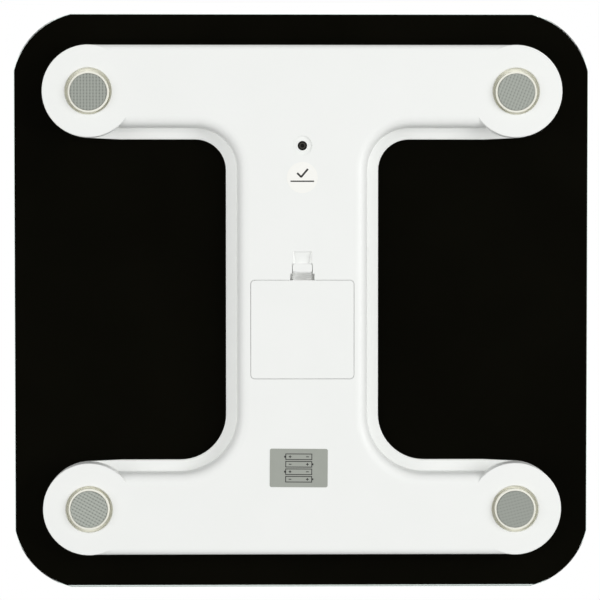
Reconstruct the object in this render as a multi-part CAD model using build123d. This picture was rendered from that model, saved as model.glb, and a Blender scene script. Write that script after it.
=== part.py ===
"""Digital bathroom scale: a square glass platform bonded onto a moulded H-shaped base.

The scale stands on its four feet. +Z is up, the origin lies on the floor under the middle
of the platform, and the display end is +Y. All sizes are in millimetres.
"""

import os
from math import cos, hypot, pi, radians, sin, sqrt, tan

from build123d import *

# Glass platform, its black back print and the tape that bonds the base to it
platform_side = 300.0
platform_thickness = 6.0
corner_arc_start = 29.6
corner_arc_inset = 10.6
platform_top_chamfer = 1.0
platform_back_chamfer = 0.3
print_thickness = 0.1
print_margin = 0.35
print_far_margin = 1.1
tape_thickness = 0.8
tape_margin = 0.75

# The base is bonded on a little off the middle of the glass
base_offset_x = -0.3
base_offset_y = 0.95

# Feet
foot_inset_x = 39.45
foot_inset_y = 41.75
pad_diameter = 18.9
pad_thickness = 1.8
pad_proud = 0.5
pad_fit = 0.1
rim_width = 1.0
rim_round = 0.6
foot_side_gap = 1.55
foot_hole_chamfer = 0.3
foot_flange_width = 3.6
foot_flange_thickness = 1.3
foot_play = 0.6
foot_boss_diameter = 8.0
foot_boss_rise = 1.05
foot_flange_gap = 0.05

# Load cells and their brackets
cell_plate_side = 33.0
cell_plate_thickness = 2.0
cell_plate_corner = 3.0
cell_frame_width = 5.5
cell_slot_width = 2.0
cell_tongue_root = 7.0
gauge_length = 6.0
gauge_width = 8.0
gauge_height = 2.0
bracket_rail = 4.6
cell_to_disc_wall = 0.35

# Base housing
ground_clearance = 3.0
face_thickness = 2.0
wall = 2.2
window_draft = 4.0
outer_draft = 1.0
wall_foot_bevel = 2.2
arm_window_reach = 0.75
arm_outer_reach = 0.27
lip_run_in = 16.0
disc_edge = 0.3
flange_width = 5.5
flange_edge = 2.3
flange_rise = 1.2
flange_edge_bevel = 0.4
window_radius_display = 16.0
window_radius_far = 24.0
window_round = 6.2
outer_round = 3.4
stiffener_thickness = 1.4
stiffener_height = 4.0
stiffener_pitch = 24.0

# Battery bay, cells and contacts
battery_count = 4
battery_diameter = 10.5
battery_length = 44.5
battery_nub_diameter = 3.8
battery_nub_length = 1.0
battery_spacing = 0.7
battery_end_gap = 0.3
battery_height_gap = 0.3
contact_thickness = 0.4
contact_width = 7.6
contact_height = 8.0
contact_tail = 1.4
tail_slot_gap = 0.35
spring_room = 4.7
spring_wire = 0.6
spring_base_radius = 3.2
spring_tip_radius = 2.1
spring_turns = 2
spring_arcs_per_turn = 2
bay_wall = 1.5
bay_roof = 1.5
bay_roof_gap = 0.2
lead_channel = 3.6

# Battery cover and its latch
cover_hinge_y = -40.5
cover_side_ledge = 1.65
cover_hinge_ledge = 2.8
cover_seam = 0.22
cover_rest_gap = 0.1
cover_corner = 2.0
cover_edge = 0.2
hinge_tab_width = 8.0
hinge_tab_offset = 13.0
hinge_tab_reach = 1.8
hinge_tab_thickness = 1.2
hinge_tab_gap = 0.1
hinge_tab_side_gap = 0.35
latch_width = 10.0
latch_strip = 1.2
latch_valley = 3.8
latch_valley_side = 1.35
latch_side_gap = 0.35
latch_depth = 7.4
latch_head_length = 4.7
latch_head_thickness = 1.6
latch_head_corner = 1.2
latch_root_gap = 0.1
latch_knuckle_radius = 0.8
latch_lip_gap = 0.3
latch_lip_thickness = 1.6
latch_barb = 1.3
latch_barb_bite = 0.6
latch_barb_gap = 0.4
latch_barb_slope = 2.2
latch_bay_wall = 1.9
latch_back_gap = 0.4
latch_end_gap = 0.25
scoop_length = 6.2
scoop_end_depth = 0.6
scoop_side_slope = 35.0

# Unit button and its switch
button_diameter = 4.6
button_sunk = 0.4
button_dimple = 0.15
button_flange_width = 1.2
button_flange_thickness = 0.8
button_gap = 0.1
button_side_gap = 0.15
button_travel = 0.6
button_setback = 12.6
button_recess_diameter = 10.3
button_recess_depth = 0.7
button_collar_diameter = 6.2
button_collar_depth = 0.3
plunger_diameter = 3.4
plunger_length = 1.4
switch_side = 6.0
switch_height = 3.4

# Circuit board and display
board_thickness = 1.6
board_wall_gap = 0.8
board_stem_width = 44.0
board_stem_length = 24.0
board_side_margin = 7.0
board_boss_diameter = 5.0
board_pilot_diameter = 2.1
board_hole_diameter = 2.4
board_boss_inset = 3.2
screw_shank_diameter = 1.9
screw_shank_length = 4.5
screw_head_diameter = 4.0
screw_head_height = 1.2
display_width = 64.0
display_thickness = 2.8
display_frame_wall = 1.6
display_frame_ledge = 1.2
display_fit = 0.15
display_window_margin = 2.0
strip_width = 2.0
strip_gap = 0.3
chip_diameter = 9.0
chip_height = 1.3
chip_slope = 50.0
chip_offset_x = 13.0

# Leads
sensor_lead_diameter = 1.6
battery_lead_diameter = 1.4
lead_gap = 0.1
lead_largest_bend = 14.0
lead_bend_share = 0.45
lead_side_step = 6.0
lead_board_step = 6.6
lead_bend_run = 14.0
lead_bay_start = 42.0
lead_bay_lift = 1.0
lead_board_run = 5.5

# Label and sticker
label_length = 30.0
label_width = 20.0
label_corner = 1.0
label_setback = 21.4
label_shift = 1.9
label_tilt = 0.4
sticker_diameter = 16.0
sticker_setback = 16.45
sticker_shift = 0.05
sticker_thickness = 0.1

# Heights above the floor
face_z = ground_clearance
inner_z = face_z + face_thickness
flange_z = inner_z + foot_play + foot_flange_gap
boss_z = flange_z + foot_flange_thickness + foot_boss_rise
cell_top_z = boss_z + cell_plate_thickness
battery_z = inner_z + battery_height_gap + battery_diameter / 2
bay_roof_z = battery_z + battery_diameter / 2 + bay_roof_gap
rim_z = bay_roof_z + bay_roof + bay_roof_gap
print_z = rim_z + tape_thickness
platform_z = print_z + print_thickness
lip_edge_z = rim_z - flange_edge
button_flange_z = inner_z + button_gap
plunger_z = button_flange_z + button_flange_thickness
switch_z = plunger_z + button_travel + button_gap
board_z = switch_z + switch_height
board_top_z = board_z + board_thickness
display_z = print_z - display_thickness

# Places in the plan
foot_x = platform_side / 2 - foot_inset_x
foot_y = platform_side / 2 - foot_inset_y
foot_places = {
    "display_left": (-foot_x, foot_y),
    "display_right": (foot_x, foot_y),
    "far_left": (-foot_x, -foot_y),
    "far_right": (foot_x, -foot_y),
}

# The feet are loose in their holes, and each has settled a little to one side
foot_settled = {
    "display_left": (0.15, -0.6),
    "display_right": (-0.3, -0.6),
    "far_left": (0.15, 0.05),
    "far_right": (-0.15, 0.3),
}
cell_reach = hypot(cell_plate_side / 2, cell_plate_side / 2 - cell_plate_corner)
disc_inner_radius = cell_reach + cell_to_disc_wall
disc_radius = disc_inner_radius + wall
arm_window_y = foot_y - disc_radius - arm_window_reach
arm_outer_y = foot_y + disc_radius + arm_outer_reach
foot_rim_radius = pad_diameter / 2 + pad_fit + rim_width
foot_hole_radius = foot_rim_radius + foot_side_gap
foot_flange_radius = foot_rim_radius + foot_flange_width

battery_pitch = battery_diameter + battery_spacing
bay_half_x = (battery_length + spring_room + 2 * contact_thickness) / 2
bay_length = (battery_count - 1) * battery_pitch + battery_diameter + 2 * battery_end_gap
bay_y0 = cover_hinge_y + cover_hinge_ledge
bay_y1 = bay_y0 + bay_length
cover_half_x = bay_half_x + cover_side_ledge
cover_latch_y = bay_y1 + latch_bay_wall + latch_back_gap + latch_strip
bay_block_half_x = cover_half_x + cover_seam + bay_wall
column_half_width = bay_block_half_x + lead_channel + wall + flange_width

latch_leg_y0 = cover_latch_y + latch_valley
latch_leg_y1 = latch_leg_y0 + latch_strip
latch_pivot_y = (latch_leg_y0 + latch_leg_y1) / 2
latch_pivot_z = face_z + latch_depth
latch_bend_y = cover_latch_y + latch_valley / 2
latch_head_y1 = latch_leg_y0 + latch_head_length
latch_lip_z = face_z + latch_head_thickness + latch_lip_gap
latch_catch_z = latch_lip_z + latch_lip_thickness
latch_lip_y = latch_leg_y1 + latch_barb - latch_barb_bite
latch_pocket_y1 = latch_leg_y1 + 2 * latch_barb
latch_roof_z = latch_pivot_z + latch_valley / 2 + latch_strip + latch_back_gap
scoop_y0 = latch_head_y1 + latch_end_gap
scoop_y1 = scoop_y0 + scoop_length

board_depth = rim_z - board_z
board_y0 = arm_window_y + flange_width + wall + board_depth * tan(radians(window_draft)) + board_wall_gap
board_y1 = arm_outer_y - wall - board_depth * tan(radians(outer_draft)) - board_wall_gap
board_half_x = display_width / 2 + display_frame_wall + display_fit + board_side_margin
board_mid_y = (board_y0 + board_y1) / 2
board_stem_y0 = board_y0 - board_stem_length
button_y = board_y0 - button_setback
display_frame_depth = board_y1 - board_y0 - 2 * display_fit
display_depth = display_frame_depth - 2 * (display_frame_wall + display_fit)

# The board is held at two opposite corners
board_bosses = [
    (board_boss_inset - board_half_x, board_y0 + board_boss_inset),
    (board_half_x - board_boss_inset, board_y1 - board_boss_inset),
]


def block(x0, x1, y0, y1, z0, z1):
    """A rectangular block between two corners."""
    middle = Pos((x0 + x1) / 2, (y0 + y1) / 2, (z0 + z1) / 2)
    return middle * Box(abs(x1 - x0), abs(y1 - y0), abs(z1 - z0))


def post(x, y, z0, z1, diameter):
    """An upright cylinder between two heights."""
    return Pos(x, y, (z0 + z1) / 2) * Cylinder(diameter / 2, z1 - z0)


def side_profile(points, width):
    """A strip of the given width along X, cut to an outline given as (y, z) points."""
    outline = make_face(Polyline(points, close=True))
    return Pos(-width / 2, 0, 0) * extrude(Plane.YZ * outline, amount=width)


def turned(points):
    """A solid of revolution about Z from an outline given as (radius, z) points."""
    return revolve(Plane.XZ * make_face(Polyline(points, close=True)), axis=Axis.Z)


def platform_outline(inset):
    """Square whose corners are cut by shallow arcs that meet the edges at a slight angle."""
    half = platform_side / 2 - inset
    start = platform_side / 2 - corner_arc_start
    middle = platform_side / 2 - corner_arc_inset - inset
    edges = []
    for turn in range(4):
        corner = ThreePointArc((half, start), (middle, middle), (start, half))
        edge = Line((start, half), (-start, half))
        edges += [corner.rotate(Axis.Z, 90 * turn), edge.rotate(Axis.Z, 90 * turn)]
    return make_face(edges)


def h_outline(window_inset, outer_inset):
    """Plan of the base without its discs, moved in along the side windows and outside."""
    arm_inner = arm_window_y + window_inset
    arm_outer = arm_outer_y - outer_inset
    column_x = column_half_width - window_inset
    arm = Rectangle(2 * foot_x, arm_outer - arm_inner)
    outline = Rectangle(2 * column_x, 2 * foot_y)
    for side in (-1, 1):
        outline += Pos(0, side * (arm_inner + arm_outer) / 2) * arm
    for side, radius in ((1, window_radius_display), (-1, window_radius_far)):
        corners = [
            vertex
            for vertex in outline.vertices()
            if abs(vertex.Y - side * arm_inner) < 0.01 and abs(abs(vertex.X) - column_x) < 0.01
        ]
        outline = fillet(corners, radius + window_inset)
    return outline


def h_block(inset, floor_z):
    """H block with drafted walls from the rim down to floor_z."""
    plan = Pos(0, 0, rim_z) * h_outline(flange_width + inset, inset)
    solid = extrude(plan, amount=rim_z - floor_z, dir=(0, 0, -1))
    walls = [face for face in solid.faces() if abs(face.normal_at().Z) < 0.5]
    window = [face for face in walls if abs(face.center().Y) < foot_y - wall]
    solid = draft(window, Plane.XY.offset(rim_z), -window_draft)
    walls = [face for face in solid.faces() if abs(face.center().Y) > foot_y + wall]
    outer = [face for face in walls if abs(face.normal_at().Z) < 0.5]
    return draft(outer, Plane.XY.offset(rim_z), -outer_draft)


def floor_edges(solid, outer):
    """Floor edges of an H block, along its outside or along its side windows."""
    edges = solid.faces().sort_by(Axis.Z)[0].edges()
    sides = [edge for edge in edges if abs(edge.center().X) < foot_x - disc_inner_radius / 2]
    return [edge for edge in sides if (abs(edge.center().Y) > foot_y) == outer]


def glass_platform():
    """Sheet with straight edges between a small ground chamfer at the back and a wide one on top."""
    edge_z0 = platform_z + platform_back_chamfer
    edge_z1 = platform_z + platform_thickness - platform_top_chamfer
    full = platform_outline(0)
    back = Pos(0, 0, platform_z) * platform_outline(platform_back_chamfer)
    top = Pos(0, 0, platform_z + platform_thickness) * platform_outline(platform_top_chamfer)
    plate = extrude(Pos(0, 0, edge_z0) * full, amount=edge_z1 - edge_z0)
    plate += loft([back, Pos(0, 0, edge_z0) * full], ruled=True)
    return plate + loft([Pos(0, 0, edge_z1) * full, top], ruled=True)


def back_print():
    """Printed up to the back chamfer, but further short of the far edge, with a clear display window."""
    window = Pos(base_offset_x, board_mid_y + base_offset_y) * Rectangle(
        display_width - 2 * display_window_margin,
        display_depth - 2 * display_window_margin,
    )
    far_strip = Pos(0, -platform_side / 2) * Rectangle(platform_side, 2 * print_far_margin)
    sheet = platform_outline(print_margin) - far_strip - window
    return extrude(Pos(0, 0, print_z) * sheet, amount=print_thickness)


def bonding_tape():
    band = h_outline(tape_margin, tape_margin)
    hollow = h_outline(flange_width + wall - tape_margin, wall - tape_margin)
    for x, y in foot_places.values():
        band += Pos(x, y) * Circle(disc_radius - tape_margin)
        hollow += Pos(x, y) * Circle(disc_inner_radius + tape_margin)
    return extrude(Pos(0, 0, rim_z) * (band - hollow), amount=tape_thickness)


def latch_recess():
    """Everything cut from the base for the latch: spring well, tab seat, catch and scoop."""
    valley_half = latch_width / 2 + latch_valley_side
    tab_half = latch_width / 2 + latch_side_gap
    well_y0 = cover_latch_y - latch_strip - latch_back_gap
    well = block(
        -valley_half, valley_half, well_y0, latch_leg_y0 - latch_side_gap, face_z, latch_roof_z
    )
    leg_slot = block(
        -tab_half, tab_half, latch_bend_y, latch_lip_y, face_z, latch_roof_z
    )
    under_lip = block(
        -tab_half, tab_half, latch_bend_y, latch_pocket_y1, latch_catch_z, latch_roof_z
    )
    seat = block(-tab_half, tab_half, latch_bend_y, scoop_y0, face_z, latch_lip_z)
    return well + leg_slot + under_lip + seat + thumb_scoop()


def thumb_scoop():
    """Hollow beyond the thumb tab, rising along a curve between sloped sides."""
    deep_y = scoop_y0 - latch_end_gap
    end = (scoop_y1, face_z + scoop_end_depth)
    curve = TangentArc((deep_y, latch_lip_z), end, tangent=(1, 0))
    rest = Polyline(end, (scoop_y1, face_z), (deep_y, face_z), (deep_y, latch_lip_z))
    hollow = extrude(Plane.YZ * make_face([curve, rest]), amount=latch_width / 2, both=True)
    mouth_y0 = deep_y - scoop_length
    mouth = Pos(0, (mouth_y0 + scoop_y1) / 2, face_z) * Rectangle(latch_width, scoop_y1 - mouth_y0)
    return hollow & extrude(mouth, amount=latch_lip_z - face_z, taper=scoop_side_slope)


def bay_block():
    """Solid that the battery bay and the latch recess are cut from."""
    bay = block(
        -bay_block_half_x,
        bay_block_half_x,
        cover_hinge_y - cover_seam - bay_wall,
        cover_latch_y + cover_seam + bay_wall,
        inner_z,
        rim_z - bay_roof_gap,
    )
    latch_half = latch_width / 2 + latch_valley_side + bay_wall
    latch = block(
        -latch_half, latch_half, cover_latch_y, scoop_y0 + bay_wall, inner_z, latch_roof_z + bay_wall
    )
    scoop = block(-latch_half, latch_half, scoop_y0, scoop_y1, inner_z, inner_z + bay_wall)
    return bay + latch + scoop


def bay_cut():
    """The opening for the cover, the bay for the cells, and the slots for tabs and tails."""
    half_x = cover_half_x + cover_seam
    ledge_z = inner_z + cover_rest_gap
    middle_y = (cover_hinge_y + cover_latch_y) / 2
    length = cover_latch_y - cover_hinge_y + 2 * cover_seam
    plan = Pos(0, middle_y, face_z) * RectangleRounded(2 * half_x, length, cover_corner + cover_seam)
    cut = extrude(plan, amount=ledge_z - face_z)
    cut += block(-bay_half_x, bay_half_x, bay_y0, bay_y1, face_z, bay_roof_z)
    tab_room = hinge_tab_reach + cover_seam
    tab_half = hinge_tab_width / 2 + hinge_tab_side_gap
    tab_top = ledge_z + hinge_tab_thickness + hinge_tab_reach / 2
    for side in (-1, 1):
        x = side * hinge_tab_offset
        cut += block(
            x - tab_half, x + tab_half, cover_hinge_y - tab_room, bay_y0, inner_z, tab_top
        )
    for y, z in battery_tails():
        tail_half = contact_tail / 2 + tail_slot_gap
        cut += block(
            bay_half_x, bay_block_half_x + wall / 2, y - tail_half, y + tail_half,
            z - contact_thickness, z + contact_thickness,
        )
    return cut


def battery_y(index):
    return bay_y0 + battery_end_gap + battery_diameter / 2 + index * battery_pitch


def battery_tails():
    """Where the two end contacts pass through the bay wall, as (y, z)."""
    lower = battery_z - contact_height / 2 + contact_tail / 2
    upper = battery_z + contact_height / 2 - contact_tail / 2
    return [(battery_y(0), lower), (battery_y(battery_count - 1), upper)]


def stiffeners():
    """Low cross ribs on the inner face of each arm, either side of the column."""
    ribs = []
    half = stiffener_thickness / 2
    y0 = arm_window_y + flange_width + wall
    y1 = arm_outer_y - wall
    first_x = board_half_x + stiffener_pitch / 2
    last_x = foot_x - disc_inner_radius
    count = int((last_x - first_x) / stiffener_pitch) + 1
    for index in range(count):
        for side_x in (-1, 1):
            for side_y in (-1, 1):
                x = side_x * (first_x + index * stiffener_pitch)
                near, far = side_y * y0, side_y * y1
                ribs.append(block(x - half, x + half, near, far, inner_z, inner_z + stiffener_height))
    return ribs


def lip_end(side_x, side_y):
    """Cutter that runs the lip's edge in to the disc at one corner of the base."""
    start_x, end_x = foot_x - lip_run_in, foot_x + lip_run_in
    corners = [
        (start_x, arm_window_y),
        (end_x, arm_window_y + 2 * arm_window_reach),
        (end_x, arm_window_y - flange_width),
        (start_x, arm_window_y - flange_width),
    ]
    plan = Polygon(*[(side_x * x, side_y * y) for x, y in corners], align=None)
    root_z = lip_edge_z - flange_rise
    return extrude(Pos(0, 0, root_z) * plan, amount=rim_z - root_z, dir=(0, 0, 1))


def flange():
    """Flat lip along the side windows, sloped below, bevelled at its edge and run in to the discs."""
    bevel_z = lip_edge_z + flange_edge_bevel
    full = h_outline(0, 0)
    bevelled = Pos(0, 0, lip_edge_z) * h_outline(flange_edge_bevel, 0)
    root = Pos(0, 0, lip_edge_z - flange_rise) * h_outline(flange_width, 0)
    lip = extrude(Pos(0, 0, bevel_z) * full, amount=rim_z - bevel_z)
    lip += loft([bevelled, Pos(0, 0, bevel_z) * full], ruled=True)
    lip += loft([root, bevelled], ruled=True)
    for side_x in (-1, 1):
        for side_y in (-1, 1):
            lip -= lip_end(side_x, side_y)
    return lip


def corner_disc():
    """Round corner of the base over a foot, with its lower edge broken."""
    return turned(
        [
            (0, face_z),
            (disc_radius - disc_edge, face_z),
            (disc_radius, face_z + disc_edge),
            (disc_radius, rim_z),
            (0, rim_z),
        ]
    )


def foot_hole():
    """Cutter for a foot hole, widened a little where it opens to the outside."""
    return turned(
        [
            (0, face_z),
            (foot_hole_radius + foot_hole_chamfer, face_z),
            (foot_hole_radius, face_z + foot_hole_chamfer),
            (foot_hole_radius, inner_z),
            (0, inner_z),
        ]
    )


def base_housing():
    body = h_block(0, face_z)
    body = fillet(floor_edges(body, False), window_round)
    body = fillet(floor_edges(body, True), outer_round)
    body += flange()
    outside = body
    hollow = h_block(wall, inner_z)
    hollow = chamfer(floor_edges(hollow, False), wall_foot_bevel)
    for x, y in foot_places.values():
        body += Pos(x, y, 0) * corner_disc()
        hollow += post(x, y, inner_z, rim_z, 2 * disc_inner_radius)
    body -= hollow
    body += bay_block()
    for rib in stiffeners():
        body += rib & outside
    for x, y in board_bosses:
        body += post(x, y, inner_z, board_z, board_boss_diameter)
        body -= post(x, y, board_z - screw_shank_length, board_z, board_pilot_diameter)
    body -= bay_cut() + latch_recess()
    for x, y in foot_places.values():
        body -= Pos(x, y, 0) * foot_hole()
    body -= post(0, button_y, face_z, face_z + button_recess_depth, button_recess_diameter)
    body += button_collar()
    return body - post(0, button_y, face_z, inner_z, button_diameter + 2 * button_side_gap)


def button_collar():
    """Low raised ring round the button, standing in its recess."""
    floor_z = face_z + button_recess_depth
    return post(0, button_y, floor_z - button_collar_depth, floor_z, button_collar_diameter)


def battery_cover():
    middle_y = (cover_hinge_y + cover_latch_y) / 2
    length = cover_latch_y - cover_hinge_y
    plan = Pos(0, middle_y, face_z) * RectangleRounded(2 * cover_half_x, length, cover_corner)
    cover = extrude(plan, amount=face_thickness)
    cover = chamfer(cover.faces().sort_by(Axis.Z)[0].edges(), cover_edge)
    tab_z = inner_z + cover_rest_gap + hinge_tab_gap
    for side in (-1, 1):
        x0 = side * hinge_tab_offset - hinge_tab_width / 2
        tab = side_profile(
            [
                (cover_hinge_y + hinge_tab_reach, inner_z),
                (cover_hinge_y, inner_z),
                (cover_hinge_y, tab_z),
                (cover_hinge_y - hinge_tab_reach, tab_z),
                (cover_hinge_y - hinge_tab_reach, tab_z + hinge_tab_thickness / 2),
                (cover_hinge_y - hinge_tab_reach / 2, tab_z + hinge_tab_thickness),
                (cover_hinge_y + hinge_tab_reach / 2, tab_z + hinge_tab_thickness),
            ],
            hinge_tab_width,
        )
        cover += Pos(x0 + hinge_tab_width / 2, 0, 0) * tab
    return cover + latch_spring()


def latch_spring():
    """The fixed leg of the U spring and its bend, ending in a socket for the latch."""
    leg = block(
        -latch_width / 2, latch_width / 2, cover_latch_y - latch_strip, cover_latch_y,
        face_z, latch_pivot_z,
    )
    outer = latch_valley / 2 + latch_strip
    ring = Circle(outer) - Circle(latch_valley / 2)
    ring &= Pos(0, outer) * Rectangle(2 * outer, 2 * outer)
    bend = extrude(Plane.YZ * (Pos(latch_bend_y, latch_pivot_z) * ring), amount=latch_width)
    socket = Circle(latch_knuckle_radius + latch_root_gap)
    socket = extrude(Plane.YZ * (Pos(latch_pivot_y, latch_pivot_z) * socket), amount=latch_width)
    return leg + Pos(-latch_width / 2, 0, 0) * (bend - socket)


def cover_latch():
    """Free leg of the U spring with the thumb tab at its end and the barb behind it."""
    barb_z = latch_catch_z + latch_barb_gap
    leg = side_profile(
        [
            (latch_leg_y0, face_z),
            (latch_head_y1, face_z),
            (latch_head_y1, face_z + latch_head_thickness),
            (latch_leg_y1, face_z + latch_head_thickness),
            (latch_leg_y1, barb_z),
            (latch_leg_y1 + latch_barb, barb_z),
            (latch_leg_y1, barb_z + latch_barb_slope),
            (latch_leg_y1, latch_pivot_z),
            (latch_leg_y0, latch_pivot_z),
        ],
        latch_width,
    )
    corners = leg.edges().filter_by(Axis.Z).group_by(Axis.Y)[-1]
    leg = fillet(corners, latch_head_corner)
    knuckle = Plane.YZ * (Pos(latch_pivot_y, latch_pivot_z) * Circle(latch_knuckle_radius))
    return leg + Pos(-latch_width / 2, 0, 0) * extrude(knuckle, amount=latch_width)


def unit_button():
    radius = button_diameter / 2
    flange_radius = radius + button_flange_width
    tip_z = face_z + button_sunk
    profile = [
        (0, tip_z + button_dimple),
        (radius / 2, tip_z + button_dimple),
        (radius / 2 + button_dimple, tip_z),
        (radius - button_dimple, tip_z),
        (radius, tip_z + button_dimple),
        (radius, button_flange_z),
        (flange_radius, button_flange_z),
        (flange_radius, plunger_z),
        (0, plunger_z),
    ]
    return Pos(0, button_y, 0) * turned(profile)


def switch_plunger():
    return post(0, button_y, plunger_z, plunger_z + plunger_length, plunger_diameter)


def switch_body():
    half = switch_side / 2
    body = block(-half, half, button_y - half, button_y + half, switch_z, board_z)
    bore_top = plunger_z + plunger_length + button_travel + button_gap
    return body - post(0, button_y, switch_z, bore_top, plunger_diameter + 2 * button_gap)


def circuit_board():
    half = board_stem_width / 2
    board = block(-board_half_x, board_half_x, board_y0, board_y1, board_z, board_top_z)
    board += block(-half, half, board_stem_y0, board_mid_y, board_z, board_top_z)
    for x, y in board_bosses:
        board -= post(x, y, board_z, board_top_z, board_hole_diameter)
    return board


def board_screws():
    screws = []
    for x, y in board_bosses:
        head = post(x, y, board_top_z, board_top_z + screw_head_height, screw_head_diameter)
        shank_z = board_top_z - board_thickness - screw_shank_length / 2
        screws.append(head + post(x, y, shank_z, board_top_z, screw_shank_diameter))
    return Compound(screws)


def chip():
    """Potted chip: a low mound of black resin under the board."""
    top = Pos(0, 0, board_z) * RegularPolygon(chip_diameter / 2, 8)
    mound = extrude(top, amount=chip_height, dir=(0, 0, -1), taper=chip_slope)
    return Pos(chip_offset_x, button_y, 0) * mound


def display_panel():
    half_x, half_y = display_width / 2, display_depth / 2
    return block(-half_x, half_x, board_mid_y - half_y, board_mid_y + half_y, display_z, print_z)


def display_frame():
    half_x = display_width / 2 + display_fit
    half_y = display_depth / 2 + display_fit
    wall_x, wall_y = half_x + display_frame_wall, half_y + display_frame_wall
    ledge_x, ledge_y = half_x - display_frame_ledge, half_y - display_frame_ledge
    y = board_mid_y
    frame = block(-wall_x, wall_x, y - wall_y, y + wall_y, board_top_z, print_z)
    frame -= block(-half_x, half_x, y - half_y, y + half_y, display_z, print_z)
    return frame - block(-ledge_x, ledge_x, y - ledge_y, y + ledge_y, board_top_z, display_z)


def contact_strip():
    """Rubber strip that carries the signals from the board up to the display."""
    half_x = display_width / 2 + display_fit - display_frame_ledge - strip_gap
    y0 = board_mid_y - display_depth / 2 - display_fit + display_frame_ledge + strip_gap
    return block(-half_x, half_x, y0, y0 + strip_width, board_top_z, display_z)


def battery(index):
    """One cell lying along X, turned about in every second place."""
    direction = 1 if index % 2 == 0 else -1
    can_length = battery_length - battery_nub_length
    can_start = bay_half_x - contact_thickness - battery_length
    can = Cylinder(battery_diameter / 2, can_length)
    nub = Cylinder(battery_nub_diameter / 2, battery_nub_length)
    cell = Pos(0, 0, can_length / 2) * can + Pos(0, 0, can_length + battery_nub_length / 2) * nub
    turn = Rot(0, 90 * direction, 0)
    return Pos(direction * can_start, battery_y(index), battery_z) * turn * cell


def biarc(start, start_way, end, end_way):
    """Two arcs that join two points and keep the given directions at both ends."""
    chord = end - start
    ways = start_way + end_way
    turn = 2 * (1 - start_way.dot(end_way))
    along = chord.dot(ways)
    reach = (sqrt(along**2 + turn * chord.dot(chord)) - along) / turn
    joint = (start + end + (start_way - end_way) * reach) * 0.5
    first = TangentArc(start, joint, tangent=start_way)
    return [first, TangentArc(joint, end, tangent=first % 1)]


def spring_points():
    """Points and directions of the coil, evenly spaced round X from the plate."""
    steps = spring_arcs_per_turn * spring_turns
    base = 2 * spring_wire
    rise = spring_room - base - spring_wire
    stations = []
    for step in range(steps + 1):
        share = step / steps
        angle = 2 * pi * spring_turns * share
        radius = spring_base_radius + (spring_tip_radius - spring_base_radius) * share
        shrink = (spring_tip_radius - spring_base_radius) / (2 * pi * spring_turns)
        climb = rise / (2 * pi * spring_turns)
        point = Vector(base + rise * share, radius * cos(angle), radius * sin(angle))
        way = Vector(
            climb,
            shrink * cos(angle) - radius * sin(angle),
            shrink * sin(angle) + radius * cos(angle),
        )
        stations.append((point, way.normalized()))
    return stations


def spring_coil():
    """Conical contact spring, an unbroken square wire from the plate to the cell."""
    stations = spring_points()
    first_point, first_way = stations[0]
    foot_start = first_point - first_way * (2 * spring_wire)
    foot_start = Vector(0, foot_start.Y, foot_start.Z)
    foot_end = foot_start + Vector(spring_wire / 2, 0, 0)
    path = [Line(foot_start, foot_end)]
    path += biarc(foot_end, Vector(1, 0, 0), first_point, first_way)
    for (start, start_way), (end, end_way) in zip(stations, stations[1:]):
        path += biarc(start, start_way, end, end_way)
    section = Plane(foot_start, z_dir=(1, 0, 0)) * RegularPolygon(spring_wire / 2, 4)
    return sweep(section, path=Wire(path))


def spring_gap():
    """Least gap between neighbouring turns of the contact spring."""
    stations = spring_points()
    gaps = [
        (far - near).length - spring_wire
        for (near, _), (far, _) in zip(stations, stations[spring_arcs_per_turn:])
    ]
    return min(gaps)


def contact(side, places, with_tail):
    """Contact plate on one end wall; places lists (cell index, True for a spring)."""
    half_width = contact_width / 2
    half_height = contact_height / 2
    plate_x = bay_half_x - contact_thickness
    low_y = min(battery_y(index) for index, _ in places) - half_width
    high_y = max(battery_y(index) for index, _ in places) + half_width
    low_z, high_z = battery_z - half_height, battery_z + half_height
    shape = block(plate_x, bay_half_x, low_y, high_y, low_z, high_z)
    for index, has_spring in places:
        if has_spring:
            turn = Rot(0, 0, 180)
            shape += Pos(plate_x, battery_y(index), battery_z) * turn * spring_coil()
    if with_tail is not None:
        y, z = with_tail
        half = contact_tail / 2
        thick = contact_thickness / 2
        shape += block(plate_x, bay_block_half_x, y - half, y + half, z - thick, z + thick)
    if side < 0:
        shape = shape.mirror(Plane.YZ)
    return shape


def foot_cup():
    """Moulded foot: a rim round the pad, a retaining flange, and a boss that bears on the cell."""
    pad_seat_radius = pad_diameter / 2 + pad_fit
    boss_radius = foot_boss_diameter / 2
    flange_top = flange_z + foot_flange_thickness
    return turned(
        [
            (0, pad_thickness),
            (pad_seat_radius, pad_thickness),
            (pad_seat_radius, pad_proud),
            (foot_rim_radius - rim_round, pad_proud),
            (foot_rim_radius, pad_proud + rim_round),
            (foot_rim_radius, flange_z),
            (foot_flange_radius, flange_z),
            (foot_flange_radius, flange_top),
            (boss_radius, flange_top),
            (boss_radius, boss_z),
            (0, boss_z),
        ]
    )


def foot_pad():
    return post(0, 0, 0, pad_thickness, pad_diameter)


def cut_corners(side, corner):
    """Square plan with its corners cut off."""
    square = Rectangle(side, side)
    return chamfer(square.vertices(), corner)


def load_cell():
    """Stamped steel plate whose middle tongue is left joined on the side of the column."""
    plate = cut_corners(cell_plate_side, cell_plate_corner)
    slot_width = cell_plate_side - 2 * cell_frame_width
    slot_length = cell_plate_side - cell_frame_width - cell_tongue_root
    slot_x1 = cell_plate_side / 2 - cell_frame_width
    slot = Pos(slot_x1 - slot_length / 2, 0) * Rectangle(slot_length, slot_width)
    tongue_length = slot_length - cell_slot_width
    tongue = Rectangle(tongue_length, slot_width - 2 * cell_slot_width)
    tongue = Pos(slot_x1 - cell_slot_width - tongue_length / 2, 0) * tongue
    return extrude(Pos(0, 0, boss_z) * (plate - (slot - tongue)), amount=cell_plate_thickness)


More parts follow.
